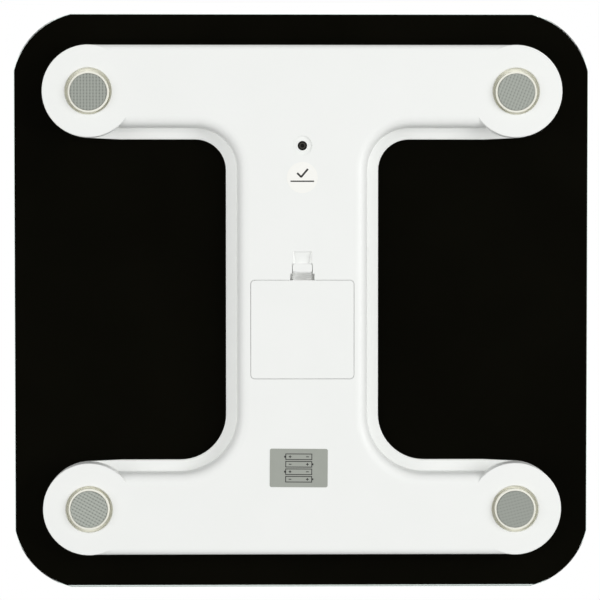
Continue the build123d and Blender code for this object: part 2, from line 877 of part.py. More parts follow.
gauge_x = -cell_plate_side / 2 + cell_tongue_root + gauge_length / 2
sensor_lead_z = cell_top_z + gauge_height / 2


def gauge():
    """Potted strain gauge on the tongue, near its root."""
    body = Pos(gauge_x, 0, sensor_lead_z) * Box(gauge_length, gauge_width, gauge_height)
    top = body.faces().sort_by(Axis.Z)[-1].edges()
    return chamfer(top, gauge_height / 4)


def cell_bracket():
    """Frame that carries the edge of a load cell under the glass, notched for the lead."""
    outer = cut_corners(cell_plate_side, cell_plate_corner)
    opening_side = cell_plate_side - 2 * bracket_rail
    ring = outer - cut_corners(opening_side, cell_plate_corner / 2)
    frame = extrude(Pos(0, 0, cell_top_z) * ring, amount=print_z - cell_top_z)
    notch_half = sensor_lead_diameter
    notch = block(
        -cell_plate_side / 2, -opening_side / 2, -notch_half, notch_half,
        cell_top_z, cell_top_z + 2 * gauge_height,
    )
    return frame - notch


def lead(name, points, diameter):
    """A lead along straight runs joined by arcs as large as their runs allow."""
    route = [Vector(*point) for point in points]
    radii = []
    for before, corner, after in zip(route, route[1:], route[2:]):
        turn = (corner - before).get_angle(after - corner)
        shorter = min((corner - before).length, (after - corner).length)
        radius = lead_bend_share * shorter / tan(radians(turn) / 2)
        radii.append(min(radius, lead_largest_bend))
    path = FilletPolyline(*route, radius=radii)
    print(name, "bend radii", [round(radius, 1) for radius in radii])
    section = Plane(path @ 0, z_dir=path % 0) * RegularPolygon(diameter / 2, 6)
    return sweep(section, path=path)


sensor_lead_x = bay_block_half_x + lead_gap + sensor_lead_diameter / 2
battery_lead_x = bay_block_half_x + lead_gap + battery_lead_diameter / 2
lead_board_z = board_top_z + sensor_lead_diameter / 2 + lead_gap
lead_stem_x = board_stem_width / 2 - 4 * sensor_lead_diameter


def display_lead_route(side):
    """From a display end gauge along the arm to the side of the board."""
    start_x = foot_x + gauge_x - gauge_length / 2
    board_x = board_half_x - board_side_margin / 2
    return [
        (side * start_x, foot_y, sensor_lead_z),
        (side * (foot_x - disc_radius), foot_y, sensor_lead_z),
        (side * (board_half_x + lead_bend_run), foot_y - lead_side_step, lead_board_z),
        (side * board_x, foot_y - lead_board_step, lead_board_z),
    ]


def far_lead_route(side):
    """From a far end gauge along the arm, past the battery bay and up to the board stem."""
    start_x = foot_x + gauge_x - gauge_length / 2
    bay_lead_z = sensor_lead_z + lead_bay_lift
    return [
        (side * start_x, -foot_y, sensor_lead_z),
        (side * (foot_x - disc_radius), -foot_y, sensor_lead_z),
        (side * (sensor_lead_x + lead_bend_run), lead_side_step / 2 - foot_y, bay_lead_z),
        (side * sensor_lead_x, lead_bay_start - foot_y, bay_lead_z),
        (side * sensor_lead_x, scoop_y1 + 2 * lead_board_run, bay_lead_z),
        (side * lead_stem_x, board_stem_y0 - lead_board_run, lead_board_z),
        (side * lead_stem_x, board_stem_y0 + lead_board_run, lead_board_z),
    ]


def battery_lead_route(index):
    """From a contact tail along the bay wall to the board stem."""
    y, z = battery_tails()[index]
    end_x = lead_stem_x - (index + 1) * 2 * battery_lead_diameter
    end_z = board_top_z + battery_lead_diameter / 2 + lead_gap
    return [
        (battery_lead_x, y - contact_tail, z),
        (battery_lead_x, scoop_y1 - 2 * battery_lead_diameter * index, z),
        (end_x, board_stem_y0 - lead_board_run, end_z),
        (end_x, board_stem_y0 + lead_board_run, end_z),
    ]


def rating_label():
    place = Pos(label_shift, label_setback - foot_y, face_z - sticker_thickness) * Rot(0, 0, label_tilt)
    plan = RectangleRounded(label_length, label_width, label_corner)
    return extrude(place * plan, amount=sticker_thickness)


def inspection_sticker():
    z0 = face_z - sticker_thickness
    return post(sticker_shift, button_y - sticker_setback, z0, face_z, sticker_diameter)


nodes = {
    "glass_platform": glass_platform(),
    "back_print": back_print(),
    "bonding_tape": bonding_tape(),
    "base_housing": base_housing(),
    "battery_cover": battery_cover(),
    "cover_latch": cover_latch(),
    "unit_button": unit_button(),
    "switch_plunger": switch_plunger(),
    "switch_body": switch_body(),
    "circuit_board": circuit_board(),
    "board_screws": board_screws(),
    "chip": chip(),
    "display_panel": display_panel(),
    "display_frame": display_frame(),
    "contact_strip": contact_strip(),
    "rating_label": rating_label(),
    "inspection_sticker": inspection_sticker(),
}
for index in range(battery_count):
    nodes[f"battery_{index + 1}"] = battery(index)

# Even places have their positive end at +X. The cells are joined in series across the bay.
last = battery_count - 1
tail_low, tail_high = battery_tails()
nodes["contact_positive"] = contact(1, [(0, False)], tail_low)
nodes["contact_negative"] = contact(1, [(last, True)], tail_high)
for index in range(last):
    bridge_side = -1 if index % 2 == 0 else 1
    nodes[f"contact_bridge_{index + 1}"] = contact(
        bridge_side, [(index, True), (index + 1, False)], None
    )

for place, (x, y) in foot_places.items():
    here = Pos(x, y, 0)
    inward = Pos(0, 0, 0) if x > 0 else Rot(0, 0, 180)
    settled = here * Pos(*foot_settled[place])
    nodes[f"foot_cup_{place}"] = settled * foot_cup()
    nodes[f"foot_pad_{place}"] = settled * foot_pad()
    nodes[f"load_cell_{place}"] = here * inward * load_cell()
    nodes[f"gauge_{place}"] = here * inward * gauge()
    nodes[f"cell_bracket_{place}"] = here * inward * cell_bracket()

lead_routes = {
    "sensor_lead_display_left": display_lead_route(-1),
    "sensor_lead_display_right": display_lead_route(1),
    "sensor_lead_far_left": far_lead_route(-1),
    "sensor_lead_far_right": far_lead_route(1),
}
for name, route in lead_routes.items():
    nodes[name] = lead(name, route, sensor_lead_diameter)
for index, name in enumerate(("battery_lead_positive", "battery_lead_negative")):
    nodes[name] = lead(name, battery_lead_route(index), battery_lead_diameter)

print("least gap between turns of a contact spring", round(spring_gap(), 2))
os.makedirs("parts", exist_ok=True)
for name, shape in nodes.items():
    if name not in ("glass_platform", "back_print"):
        shape = Pos(base_offset_x, base_offset_y, 0) * shape
    export_step(shape, f"parts/{name}.step")
print(len(nodes), "nodes")
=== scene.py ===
"""Digital bathroom scale: finishes, woven foot pads, cells and printed marks, seen from below.

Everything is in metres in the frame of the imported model: +Z is up, and the display end is +Y.
"""

from math import cos, pi, radians, sin, sqrt

import bmesh
import bpy
from mathutils import Matrix, Vector


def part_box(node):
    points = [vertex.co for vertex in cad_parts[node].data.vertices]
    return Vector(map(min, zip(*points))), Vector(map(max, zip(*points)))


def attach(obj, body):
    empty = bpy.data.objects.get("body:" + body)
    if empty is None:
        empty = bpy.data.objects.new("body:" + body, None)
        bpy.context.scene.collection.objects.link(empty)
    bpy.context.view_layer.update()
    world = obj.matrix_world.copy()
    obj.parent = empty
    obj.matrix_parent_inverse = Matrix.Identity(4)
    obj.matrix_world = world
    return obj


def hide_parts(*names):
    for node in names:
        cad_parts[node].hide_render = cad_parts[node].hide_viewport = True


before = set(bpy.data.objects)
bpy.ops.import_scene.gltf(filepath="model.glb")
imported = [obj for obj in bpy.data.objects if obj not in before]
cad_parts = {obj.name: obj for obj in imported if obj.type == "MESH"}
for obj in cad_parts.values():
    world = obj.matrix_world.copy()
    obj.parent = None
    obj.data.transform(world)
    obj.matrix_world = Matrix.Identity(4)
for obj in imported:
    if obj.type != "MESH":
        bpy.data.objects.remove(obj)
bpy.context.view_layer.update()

# Glass platform: a square of clear float glass that the user stands on.
# Its corners are ground to shallow arcs and its rim is bevelled and polished, so the cut edge
# shows the green of the glass.


def shader_of(material):
    """The shader of a node material."""
    return material.node_tree.nodes["Principled BSDF"]


def node_finish(name, roughness, **sockets):
    """A node material with the plain sockets of its shader set."""
    material = bpy.data.materials.new(name)
    material.use_nodes = True
    shader_of(material).inputs["Roughness"].default_value = roughness
    for socket, value in sockets.items():
        shader_of(material).inputs[socket.replace("_", " ")].default_value = value
    return material


def add_node(material, kind, inputs=None, **settings):
    """One more node, with links or plain values on its inputs."""
    node = material.node_tree.nodes.new("ShaderNode" + kind)
    for setting, value in settings.items():
        setattr(node, setting, value)
    for socket, value in (inputs or {}).items():
        if isinstance(value, bpy.types.NodeSocket):
            material.node_tree.links.new(value, node.inputs[socket])
        else:
            node.inputs[socket].default_value = value
    return node


def calculated(material, operation, *values):
    """Output of a maths node on links or plain values."""
    return add_node(material, "Math", dict(enumerate(values)), operation=operation).outputs["Value"]


def paint(material, factor, dark, light):
    """Colours a finish from a dark to a light shade with a factor between 0 and 1."""
    ramp = add_node(material, "ValToRGB", {"Fac": factor})
    ramp.color_ramp.elements[0].color = (*dark, 1)
    ramp.color_ramp.elements[1].color = (*light, 1)
    material.node_tree.links.new(ramp.outputs["Color"], shader_of(material).inputs["Base Color"])


def dress(material, *names):
    """Gives CAD nodes a finish."""
    for name in names:
        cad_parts[name].material_slots[0].material = material


glass_clear = (0.93, 0.985, 0.962)
glass_green = (0.52, 0.80, 0.66)
glass = node_finish("clear_glass", roughness=0.0, Transmission_Weight=1.0, IOR=1.52)
facing = add_node(glass, "TexCoord").outputs["Normal"]
facing_up = add_node(glass, "SeparateXYZ", {"Vector": facing}).outputs["Z"]
paint(glass, calculated(glass, "ABSOLUTE", facing_up), glass_green, glass_clear)
dress(glass, "glass_platform")

# Back print: black enamel screen-printed on the underside of the glass and fired.
# It stops just short of the bevel and leaves a clear window over the display.


def mottled_finish(name, dark, light, patch, roughness, **sockets):
    """A finish whose colour drifts between two shades in soft patches of the given size."""
    material = node_finish(name, roughness, **sockets)
    place = add_node(material, "TexCoord").outputs["Object"]
    noise = add_node(material, "TexNoise", {"Vector": place, "Scale": 1 / patch, "Detail": 4.0})
    paint(material, noise.outputs["Fac"], dark, light)
    return material


def add_grain(material, size, depth):
    """Fine relief of the given grain size and depth."""
    place = add_node(material, "TexCoord").outputs["Object"]
    noise = add_node(material, "TexNoise", {"Vector": place, "Scale": 1 / size, "Detail": 2.0})
    bump = add_node(material, "Bump", {"Height": noise.outputs["Fac"], "Distance": depth})
    material.node_tree.links.new(bump.outputs["Normal"], shader_of(material).inputs["Normal"])


enamel = mottled_finish(
    "black_enamel", (0.0014, 0.0013, 0.0006), (0.0032, 0.0030, 0.0017), patch=0.05, roughness=0.6,
    Specular_IOR_Level=0.01,
)
dress(enamel, "back_print")

# Bonding tape: a die-cut band of white acrylic foam tape.
# It holds the base to the glass all round and seals the inside from the floor.
foam = mottled_finish(
    "bonding_foam", (0.60, 0.60, 0.57), (0.74, 0.74, 0.71), patch=0.002, roughness=0.85,
)
add_grain(foam, size=0.0004, depth=0.00006)
dress(foam, "bonding_tape")

# Display: a grey-green liquid crystal panel in a moulded frame, over a striped rubber strip.
# The panel shows through the clear window in the black print.
crystal = mottled_finish(
    "liquid_crystal", (0.30, 0.34, 0.27), (0.34, 0.38, 0.31), patch=0.012, roughness=0.25,
)
add_grain(crystal, size=0.0002, depth=0.000002)
dress(crystal, "display_panel")


def placed(name, shape):
    """Makes a modelled shape a piece of the scene."""
    mesh = bpy.data.meshes.new(name)
    shape.to_mesh(mesh)
    shape.free()
    piece = bpy.data.objects.new(name, mesh)
    bpy.context.scene.collection.objects.link(piece)
    return piece


def printed_bars(name, bars, centre, low_z, high_z, turn=0.0):
    """Thin bars of ink on a flat face, each an (x, y, length, width, angle) from the centre."""
    shape = bmesh.new()
    middle = Matrix.Translation((centre.x, centre.y, (low_z + high_z) / 2))
    for x, y, length, width, angle in bars:
        bar = bmesh.ops.create_cube(shape, size=1.0)["verts"]
        form = Matrix.Rotation(turn, 4, "Z") @ Matrix.Translation((x, y, 0))
        form = form @ Matrix.Rotation(angle, 4, "Z")
        form = form @ Matrix.Diagonal((length, width, high_z - low_z, 1))
        bmesh.ops.transform(shape, verts=bar, matrix=middle @ form)
    return placed(name, shape)


digit_count = 4
digit_pitch = 0.0125
digit_width = 0.0078
digit_height = 0.0150
segment_width = 0.0013
segment_gap = 0.0003
segment_thickness = 0.00002
level_length = digit_width - 2 * segment_gap
upright_length = digit_height / 2 - segment_gap
low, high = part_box("display_panel")
bars = []
for digit in range(digit_count):
    digit_x = (digit - (digit_count - 1) / 2) * digit_pitch
    for row in (-1, 0, 1):
        bars.append((digit_x, row * digit_height / 2, level_length, segment_width, 0.0))
    for column in (-1, 1):
        for row in (-1, 1):
            bar_x = digit_x + column * (digit_width + segment_width) / 2
            bars.append((bar_x, row * digit_height / 4, segment_width, upright_length, 0.0))
segments = printed_bars(
    "display_segments", bars, (low + high) / 2, high.z, high.z + segment_thickness,
)
unlit = mottled_finish(
    "unlit_segments", (0.185, 0.215, 0.165), (0.215, 0.245, 0.190), patch=0.004, roughness=0.3,
)
segments.data.materials.append(unlit)
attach(segments, "base")
frame_plastic = mottled_finish(
    "inner_plastic", (0.62, 0.61, 0.57), (0.70, 0.69, 0.65), patch=0.01, roughness=0.55,
)
add_grain(frame_plastic, size=0.0003, depth=0.000006)


def nodes_named(start):
    """Names of the CAD nodes that start with the given words."""
    return [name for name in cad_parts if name.startswith(start)]


dress(frame_plastic, "display_frame", *nodes_named("cell_bracket_"))

stripe_scale = 200.0
strip_rubber = node_finish("striped_rubber", roughness=0.7)
strip_place = add_node(strip_rubber, "TexCoord").outputs["Object"]
stripes = add_node(
    strip_rubber, "TexWave", {"Vector": strip_place, "Scale": stripe_scale}, bands_direction="X",
)
paint(strip_rubber, stripes.outputs["Fac"], (0.02, 0.02, 0.02), (0.55, 0.20, 0.16))
dress(strip_rubber, "contact_strip")

# Circuit board: glass-epoxy laminate with green solder mask, held by two small steel screws.
# The chip is bonded under the board and covered by a drop of black resin.
mask = mottled_finish(
    "solder_mask", (0.010, 0.085, 0.035), (0.022, 0.140, 0.058), patch=0.004, roughness=0.35,
)
add_grain(mask, size=0.0012, depth=0.00002)
dress(mask, "circuit_board")
plated = mottled_finish(
    "plated_steel", (0.50, 0.50, 0.48), (0.62, 0.62, 0.60), patch=0.001, roughness=0.32,
    Metallic=1.0,
)
add_grain(plated, size=0.0002, depth=0.000006)
dress(plated, "board_screws")
resin = mottled_finish(
    "black_resin", (0.006, 0.006, 0.006), (0.014, 0.014, 0.014), patch=0.002, roughness=0.3,
)
add_grain(resin, size=0.001, depth=0.00003)
dress(resin, "chip")

# Base housing: one white plastic moulding in the shape of an H, open towards the glass.
# Its satin skin comes from the mould. Deep in the battery bay and the latch recess it is
# painted whiter: painted light that lifts the shade there.


def painted_shading_finish(
    name, outer_colour, deep_colour, low_z, high_z, patch, roughness, recess=None, **sockets
):
    """A finish that goes from one shade to another between two heights, in soft patches.

    With a recess, given by its low and high corners, it does so only inside that.
    That change with height is painted light or shade; the soft patches are random tone.
    """
    material = node_finish(name, roughness, **sockets)
    place = add_node(material, "TexCoord").outputs["Object"]
    along = add_node(material, "SeparateXYZ", {"Vector": place}).outputs
    depth = calculated(material, "SUBTRACT", along["Z"], low_z)
    if recess:
        for axis, start, end in zip("XY", *recess):
            middle = (start + end) / 2
            inside = calculated(material, "COMPARE", along[axis], middle, (end - start) / 2)
            depth = calculated(material, "MULTIPLY", depth, inside)
    noise = add_node(material, "TexNoise", {"Vector": place, "Scale": 1 / patch, "Detail": 4.0})
    unevenness = (high_z - low_z) / 3
    patchy = calculated(material, "MULTIPLY_ADD", noise.outputs["Fac"], unevenness, depth)
    shade = add_node(material, "MapRange", {"Value": patchy, "From Max": high_z - low_z})
    paint(material, shade.outputs["Result"], outer_colour, deep_colour)
    return material


face_white = (0.880, 0.896, 0.872)
painted_light_white = (0.975, 0.978, 0.970)
painted_light_depth = 0.002
white_patch = 0.03
white_roughness = 0.45
white_grain = 0.00025
white_relief = 0.000006
bay_margin = Vector((0.0006, 0.0006, 0))
bay_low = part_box("battery_cover")[0] - bay_margin
bay_high = Vector((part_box("battery_cover")[1].x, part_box("cover_latch")[1].y, 0)) + bay_margin
low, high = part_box("base_housing")
# Painted light: deep in the bay and the latch recess the white turns whiter, lifting the shade
# there.
housing_plastic = painted_shading_finish(
    "white_housing", face_white, painted_light_white, low.z, low.z + painted_light_depth,
    white_patch, white_roughness, recess=(bay_low, bay_high),
)
add_grain(housing_plastic, white_grain, white_relief)
dress(housing_plastic, "base_housing")

# Load cells: stamped steel plates with a middle tongue that bends under the weight.
# A strain gauge is glued to each tongue and potted in white silicone.
cell_steel = mottled_finish(
    "cell_steel", (0.44, 0.44, 0.42), (0.56, 0.56, 0.54), patch=0.003, roughness=0.38,
    Metallic=1.0,
)
add_grain(cell_steel, size=0.0004, depth=0.00001)
dress(cell_steel, *nodes_named("load_cell_"))
potting = mottled_finish(
    "gauge_potting", (0.70, 0.70, 0.66), (0.82, 0.82, 0.78), patch=0.002, roughness=0.4,
)
add_grain(potting, size=0.0015, depth=0.00008)
dress(potting, *nodes_named("gauge_"))

# Foot cups: ivory mouldings that float in the holes of the base, with painted shade down in the
# gap.
# Each has a rim round its pad, a wide flange inside that keeps it in, and a boss on the cell.
places = ("display_left", "display_right", "far_left", "far_right")
turn_steps = 96


def smoothed(piece, sharp):
    """Shades a piece smooth but for edges sharper than the given angle."""
    piece.data.shade_smooth()
    piece.data.set_sharp_from_angle(angle=sharp)
    return piece


def turned_piece(name, profile, centre, sharp=radians(40)):
    """A closed piece turned about an upright line through centre from (radius, height) points."""
    shape = bmesh.new()
    rings = []
    for radius, height in profile:
        if radius == 0:
            rings.append([shape.verts.new((centre.x, centre.y, height))])
            continue
        ring = []
        for step in range(turn_steps):
            angle = 2 * pi * step / turn_steps
            x = centre.x + radius * cos(angle)
            y = centre.y + radius * sin(angle)
            ring.append(shape.verts.new((x, y, height)))
        rings.append(ring)
    for low, high in zip(rings, rings[1:]):
        for step in range(turn_steps):
            following = (step + 1) % turn_steps
            if len(low) == 1:
                shape.faces.new((low[0], high[following], high[step]))
            elif len(high) == 1:
                shape.faces.new((low[step], low[following], high[0]))
            else:
                shape.faces.new((low[step], low[following], high[following], high[step]))
    bmesh.ops.recalc_face_normals(shape, faces=shape.faces)
    return smoothed(placed(name, shape), sharp)


def rounded(corner_radius, corner_height, radius, way_in, way_out, steps=5):
    """Points of a quarter round at a corner of a turned profile, between two directions."""
    points = []
    for step in range(steps + 1):
        angle = pi / 2 * step / steps
        along_in = radius * (1 - sin(angle))
        along_out = radius * (1 - cos(angle))
        point_radius = corner_radius - way_in[0] * along_in + way_out[0] * along_out
        point_height = corner_height - way_in[1] * along_in + way_out[1] * along_out
        points.append((point_radius, point_height))
    return points


pad_fit = 0.0001
rim_width = 0.0010
rim_round = 0.00022
flange_height = 0.00565
flange_thickness = 0.0013
boss_radius = 0.004
# Painted shade: the cup turns a little darker with height, down in the gap round it.
ivory = painted_shading_finish(
    "ivory_foot", (0.918, 0.915, 0.815), (0.895, 0.885, 0.795), low_z=0.0, high_z=0.003,
    patch=0.004, roughness=0.38,
)
add_grain(ivory, size=0.0003, depth=0.000005)
for place in places:
    low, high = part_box("foot_cup_" + place)
    pad_low, pad_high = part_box("foot_pad_" + place)
    seat_radius = (pad_high.x - pad_low.x) / 2 + pad_fit
    rim_radius = seat_radius + rim_width
    flange_radius = (high.x - low.x) / 2
    profile = [(0, pad_high.z), (seat_radius, pad_high.z), (seat_radius, low.z + rim_round / 2)]
    profile += rounded(seat_radius, low.z, rim_round / 2, (0, -1), (1, 0))[1:]
    profile += rounded(rim_radius, low.z, rim_round, (1, 0), (0, 1))
    profile += [
        (rim_radius, flange_height),
        (flange_radius, flange_height),
        (flange_radius, flange_height + flange_thickness),
        (boss_radius, flange_height + flange_thickness),
        (boss_radius, high.z),
        (0, high.z),
    ]
    cup = turned_piece("foot_moulding_" + place, profile, (low + high) / 2)
    cup.data.materials.append(ivory)
    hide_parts("foot_cup_" + place)
    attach(cup, "foot_" + place)

# Foot pads: discs of grey non-slip cloth-faced rubber pressed into the cups.
# The face is a ribbed weave, turned, worn flat and soiled a little differently in each foot.
thread_pitch = 0.00164
thread_lift = 0.00010
rib_width = 0.00130
rib_crown = 0.00020
rib_sway = 0.00004
cross_width = 0.00140
cross_crown = 0.00013
cross_sway = 0.00009
weave_depth = thread_lift + rib_crown + rib_sway
weave_dark = (0.130, 0.142, 0.126)
weave_light = (0.398, 0.422, 0.380)
weave_turn = {"display_left": 22, "display_right": 0, "far_left": 75, "far_right": -61}
weave_left = {"display_left": 0.75, "display_right": 0.9, "far_left": 0.4, "far_right": 1.0}
weave_shade = {"display_left": 1.0, "display_right": 0.94, "far_left": 0.83, "far_right": 1.12}
pad_cells = 128


def weave_height(u, v):
    """Height of a new weave over its backing, at a point in the threads' own axes."""

    def thread(across, along, first, width, crown, sway):
        index = round(across / thread_pitch)
        off = (across - index * thread_pitch) / (width / 2)
        if abs(off) >= 1:
            return 0
        middle = thread_lift + sway * cos(pi * (along / thread_pitch + index + first))
        return middle + crown * sqrt(1 - off * off)

    rib = thread(u, v, 0, rib_width, rib_crown, rib_sway)
    return max(rib, thread(v, u, 1, cross_width, cross_crown, cross_sway))


def woven_disc(name, centre, radius, low_z, high_z, turn, left, sharp=radians(60)):
    """A round pad whose lower face has what wear left of the weave; the threads touch low_z."""
    tallest = left * weave_depth
    shape = bmesh.new()
    grid = []
    for row in range(pad_cells + 1):
        line = []
        for column in range(pad_cells + 1):
            s, t = 2 * column / pad_cells - 1, 2 * row / pad_cells - 1
            x, y = radius * s * sqrt(1 - t * t / 2), radius * t * sqrt(1 - s * s / 2)
            u, v = x * cos(turn) + y * sin(turn), y * cos(turn) - x * sin(turn)
            z = low_z + tallest - left * weave_height(u, v)
            line.append(shape.verts.new((centre.x + x, centre.y + y, z)))
        grid.append(line)
    for near, far in zip(grid, grid[1:]):
        for column in range(pad_cells):
            shape.faces.new((near[column], far[column], far[column + 1], near[column + 1]))
    last = pad_cells
    border = grid[0][:last] + [line[last] for line in grid[:last]]
    border += grid[last][last:0:-1] + [line[0] for line in grid[last:0:-1]]
    back = [shape.verts.new((point.co.x, point.co.y, high_z)) for point in border]
    for step in range(len(border)):
        following = (step + 1) % len(border)
        shape.faces.new((border[step], border[following], back[following], back[step]))
    shape.faces.new(back[::-1])
    bmesh.ops.recalc_face_normals(shape, faces=shape.faces)
    return smoothed(placed(name, shape), sharp)


def woven_finish(name, shade):
    """Grey cloth, darker down between the threads, in a lighter or darker shade."""
    material = node_finish(name, roughness=0.8)
    point = add_node(material, "TexCoord").outputs["Object"]
    height = add_node(material, "SeparateXYZ", {"Vector": point}).outputs["Z"]
    raised = add_node(
        material, "MapRange", {"Value": height, "From Min": weave_depth, "From Max": 0.0},
    ).outputs["Result"]
    dark = [shade * part for part in weave_dark]
    light = [shade * part for part in weave_light]
    paint(material, raised, dark, light)
    add_grain(material, size=0.00012, depth=0.00002)
    return material


for place in places:
    low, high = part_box("foot_pad_" + place)
    pad = woven_disc(
        "woven_pad_" + place, (low + high) / 2, (high.x - low.x) / 2, low.z, high.z,
        radians(weave_turn[place]), weave_left[place],
    )
    pad.data.materials.append(woven_finish("woven_pad_" + place, weave_shade[place]))
    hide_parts("foot_pad_" + place)
    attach(pad, "foot_" + place)

# Unit button: a small black rubber-like button with a dished tip, and a ring round the dish
# painted lighter as a painted highlight.
# It is held behind the base by its flange and presses the switch on the board.
button_radius = 0.0023
button_ring = 0.0002
button_dish = 0.0006
button_edge_round = 0.0003
button_flange_low = 0.0051
dish_floor_radius = 0.30 * button_radius
ring_inner_radius = 0.46 * button_radius
ring_outer_radius = 0.66 * button_radius
ring_foot_radius = 0.74 * button_radius
low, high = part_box("unit_button")
button_flange = (high.x - low.x) / 2
button_shoulder = low.z + button_ring
profile = [
    (0, low.z + button_dish),
    (dish_floor_radius, low.z + button_dish),
    (ring_inner_radius, low.z),
    (ring_outer_radius, low.z),
    (ring_foot_radius, button_shoulder),
]
profile += rounded(button_radius, button_shoulder, button_edge_round, (1, 0), (0, 1))
profile += [
    (button_radius, button_flange_low),
    (button_flange, button_flange_low),
    (button_flange, high.z),
    (0, high.z),
]
button = turned_piece("push_button", profile, (low + high) / 2, sharp=radians(30))
# Painted highlight: the ring at the tip is lighter than the rest of the black button.
button_black = painted_shading_finish(
    "black_button", (0.055, 0.053, 0.046), (0.003, 0.003, 0.002), low.z, button_shoulder,
    patch=0.001, roughness=0.5, Specular_IOR_Level=0.15,
)
add_grain(button_black, size=0.0002, depth=0.000005)
button.data.materials.append(button_black)
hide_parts("unit_button")
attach(button, "button")

# Switch: a small tactile switch soldered under the board, with a dark plunger.
# The button's flange pushes the plunger up into the body.
switch_plastic = mottled_finish(
    "switch_body", (0.05, 0.05, 0.05), (0.08, 0.08, 0.08), patch=0.001, roughness=0.45,
)
add_grain(switch_plastic, size=0.0002, depth=0.000006)
dress(switch_plastic, "switch_body", "switch_plunger")

# Battery contacts: stamped strips of nickel plated spring steel on the end walls of the bay.
# A coil of the same steel is welded on for each cell's flat end.
nickel = mottled_finish(
    "nickel_contact", (0.62, 0.60, 0.55), (0.74, 0.72, 0.67), patch=0.001, roughness=0.28,
    Metallic=1.0,
)
add_grain(nickel, size=0.0003, depth=0.000008)
dress(nickel, "contact_positive", "contact_negative", *nodes_named("contact_bridge_"))

# Cells: four small round dry cells in steel cans with a shrunk plastic sleeve.
# A pale band marks the end with the nub, and the cells lie head to tail in the bay.
sleeve = mottled_finish(
    "cell_sleeve", (0.030, 0.050, 0.085), (0.040, 0.064, 0.105), patch=0.006, roughness=0.3,
)
add_grain(sleeve, size=0.0006, depth=0.00001)
band = mottled_finish(
    "cell_band", (0.66, 0.66, 0.62), (0.72, 0.72, 0.68), patch=0.006, roughness=0.3,
)
add_grain(band, size=0.0006, depth=0.00001)
cell_count = 4
cell_rim = 0.0004
cell_nub_radius = 0.0019
cell_nub_height = 0.0010
band_length = 0.0095
flat_share = 0.66
groove_inner_share = 0.70
groove_outer_share = 0.84
crimp_share = 0.6
nub_foot_share = 1.2
sleeve_share = 0.75
for index in range(1, cell_count + 1):
    low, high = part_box(f"battery_{index}")
    length = high.x - low.x
    radius = (high.y - low.y) / 2
    shoulder = length - cell_nub_height
    profile = [
        (0, 0),
        (flat_share * radius, 0),
        (groove_inner_share * radius, cell_rim / 2),
        (groove_outer_share * radius, cell_rim / 2),
        (radius - cell_rim, 0),
        (radius, cell_rim),
        (radius, shoulder - band_length),
        (radius, shoulder - cell_rim),
        (radius - cell_rim, shoulder),
        (crimp_share * radius, shoulder - cell_rim / 2),
        (nub_foot_share * cell_nub_radius, shoulder),
        (cell_nub_radius, shoulder + cell_rim / 2),
        (cell_nub_radius, length - cell_rim / 2),
        (cell_nub_radius - cell_rim / 2, length),
        (0, length),
    ]
    cell = turned_piece(f"dry_cell_{index}", profile, Vector((0, 0, 0)))
    for material in (plated, sleeve, band):
        cell.data.materials.append(material)
    for face in cell.data.polygons:
        sleeved = face.center.xy.length > radius - sleeve_share * cell_rim
        banded = face.center.z > shoulder - band_length
        face.material_index = sleeved + (sleeved and banded)
    nub_way = 1 if index % 2 else -1
    flat_end = low.x if index % 2 else high.x
    middle = (low + high) / 2
    lying = Matrix.Rotation(nub_way * pi / 2, 4, "Y")
    cell.data.transform(Matrix.Translation((flat_end, middle.y, middle.z)) @ lying)
    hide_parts(f"battery_{index}")
    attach(cell, "base")

# Battery cover and latch: a flat white moulding with two hinge tabs and a thin U that springs its
# latch. Its face and the rounded thumb tab have the white of the base's face, and the deep U is
# painted whiter: painted light that lifts the shade there.
low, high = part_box("battery_cover")
# Painted light: the cover turns whiter with depth, so the latch's U is lighter than its face.
cover_plastic = painted_shading_finish(
    "white_cover", face_white, painted_light_white, low.z, low.z + painted_light_depth,
    white_patch, white_roughness,
)
add_grain(cover_plastic, white_grain, white_relief)
dress(cover_plastic, "battery_cover", "cover_latch")
tab_front_round = 0.00115
tab_front_steps = 8
tab_edge_round = 0.0002
tab_edge_steps = 3
tab_edge_angle = radians(50)
same_place = 0.000002
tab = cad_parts["cover_latch"]
low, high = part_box("cover_latch")
face_points = [point for point in tab.data.vertices if point.co.z < low.z + same_place]
front_y = min(point.co.y for point in face_points)
front_points = [point.index for point in face_points if point.co.y < front_y + same_place]
front = tab.vertex_groups.new(name="tab_front")
front.add(front_points, 1.0, "REPLACE")
joined = tab.modifiers.new("joined_faces", "WELD")
joined.merge_threshold = same_place
rolled = tab.modifiers.new("rolled_front", "BEVEL")
rolled.limit_method = "VGROUP"
rolled.vertex_group = front.name
rolled.width = tab_front_round
rolled.segments = tab_front_steps
softened = tab.modifiers.new("soft_edges", "BEVEL")
softened.limit_method = "ANGLE"
softened.angle_limit = tab_edge_angle
softened.width = tab_edge_round
softened.segments = tab_edge_steps

# Leads: thin stranded wires in soft plastic, soldered to the gauges, contacts and board.
# They lie inside the base, along its walls.
lead_colours = {
    "sensor_lead_": ("grey_lead", (0.20, 0.20, 0.20), (0.27, 0.27, 0.27)),
    "battery_lead_positive": ("red_lead", (0.40, 0.02, 0.02), (0.52, 0.03, 0.03)),
    "battery_lead_negative": ("black_lead", (0.010, 0.010, 0.010), (0.020, 0.020, 0.020)),
}
for start, (name, dark, light) in lead_colours.items():
    lead_plastic = mottled_finish(name, dark, light, patch=0.003, roughness=0.45)
    add_grain(lead_plastic, size=0.0006, depth=0.00002)
    dress(lead_plastic, *nodes_named(start))

# Label and sticker: a silver foil label by the far edge and a round paper sticker.
# Both are stuck flat on the face of the base, and have a plain drawing in black ink.
foil = mottled_finish(
    "silver_label", (0.325, 0.342, 0.305), (0.355, 0.374, 0.336), patch=0.006, roughness=0.5,
)
add_grain(foil, size=0.0002, depth=0.000004)
dress(foil, "rating_label")
paper = mottled_finish(
    "paper_sticker", (0.935, 0.935, 0.895), (0.955, 0.955, 0.918), patch=0.004, roughness=0.7,
)
add_grain(paper, size=0.0002, depth=0.000008)
dress(paper, "inspection_sticker")

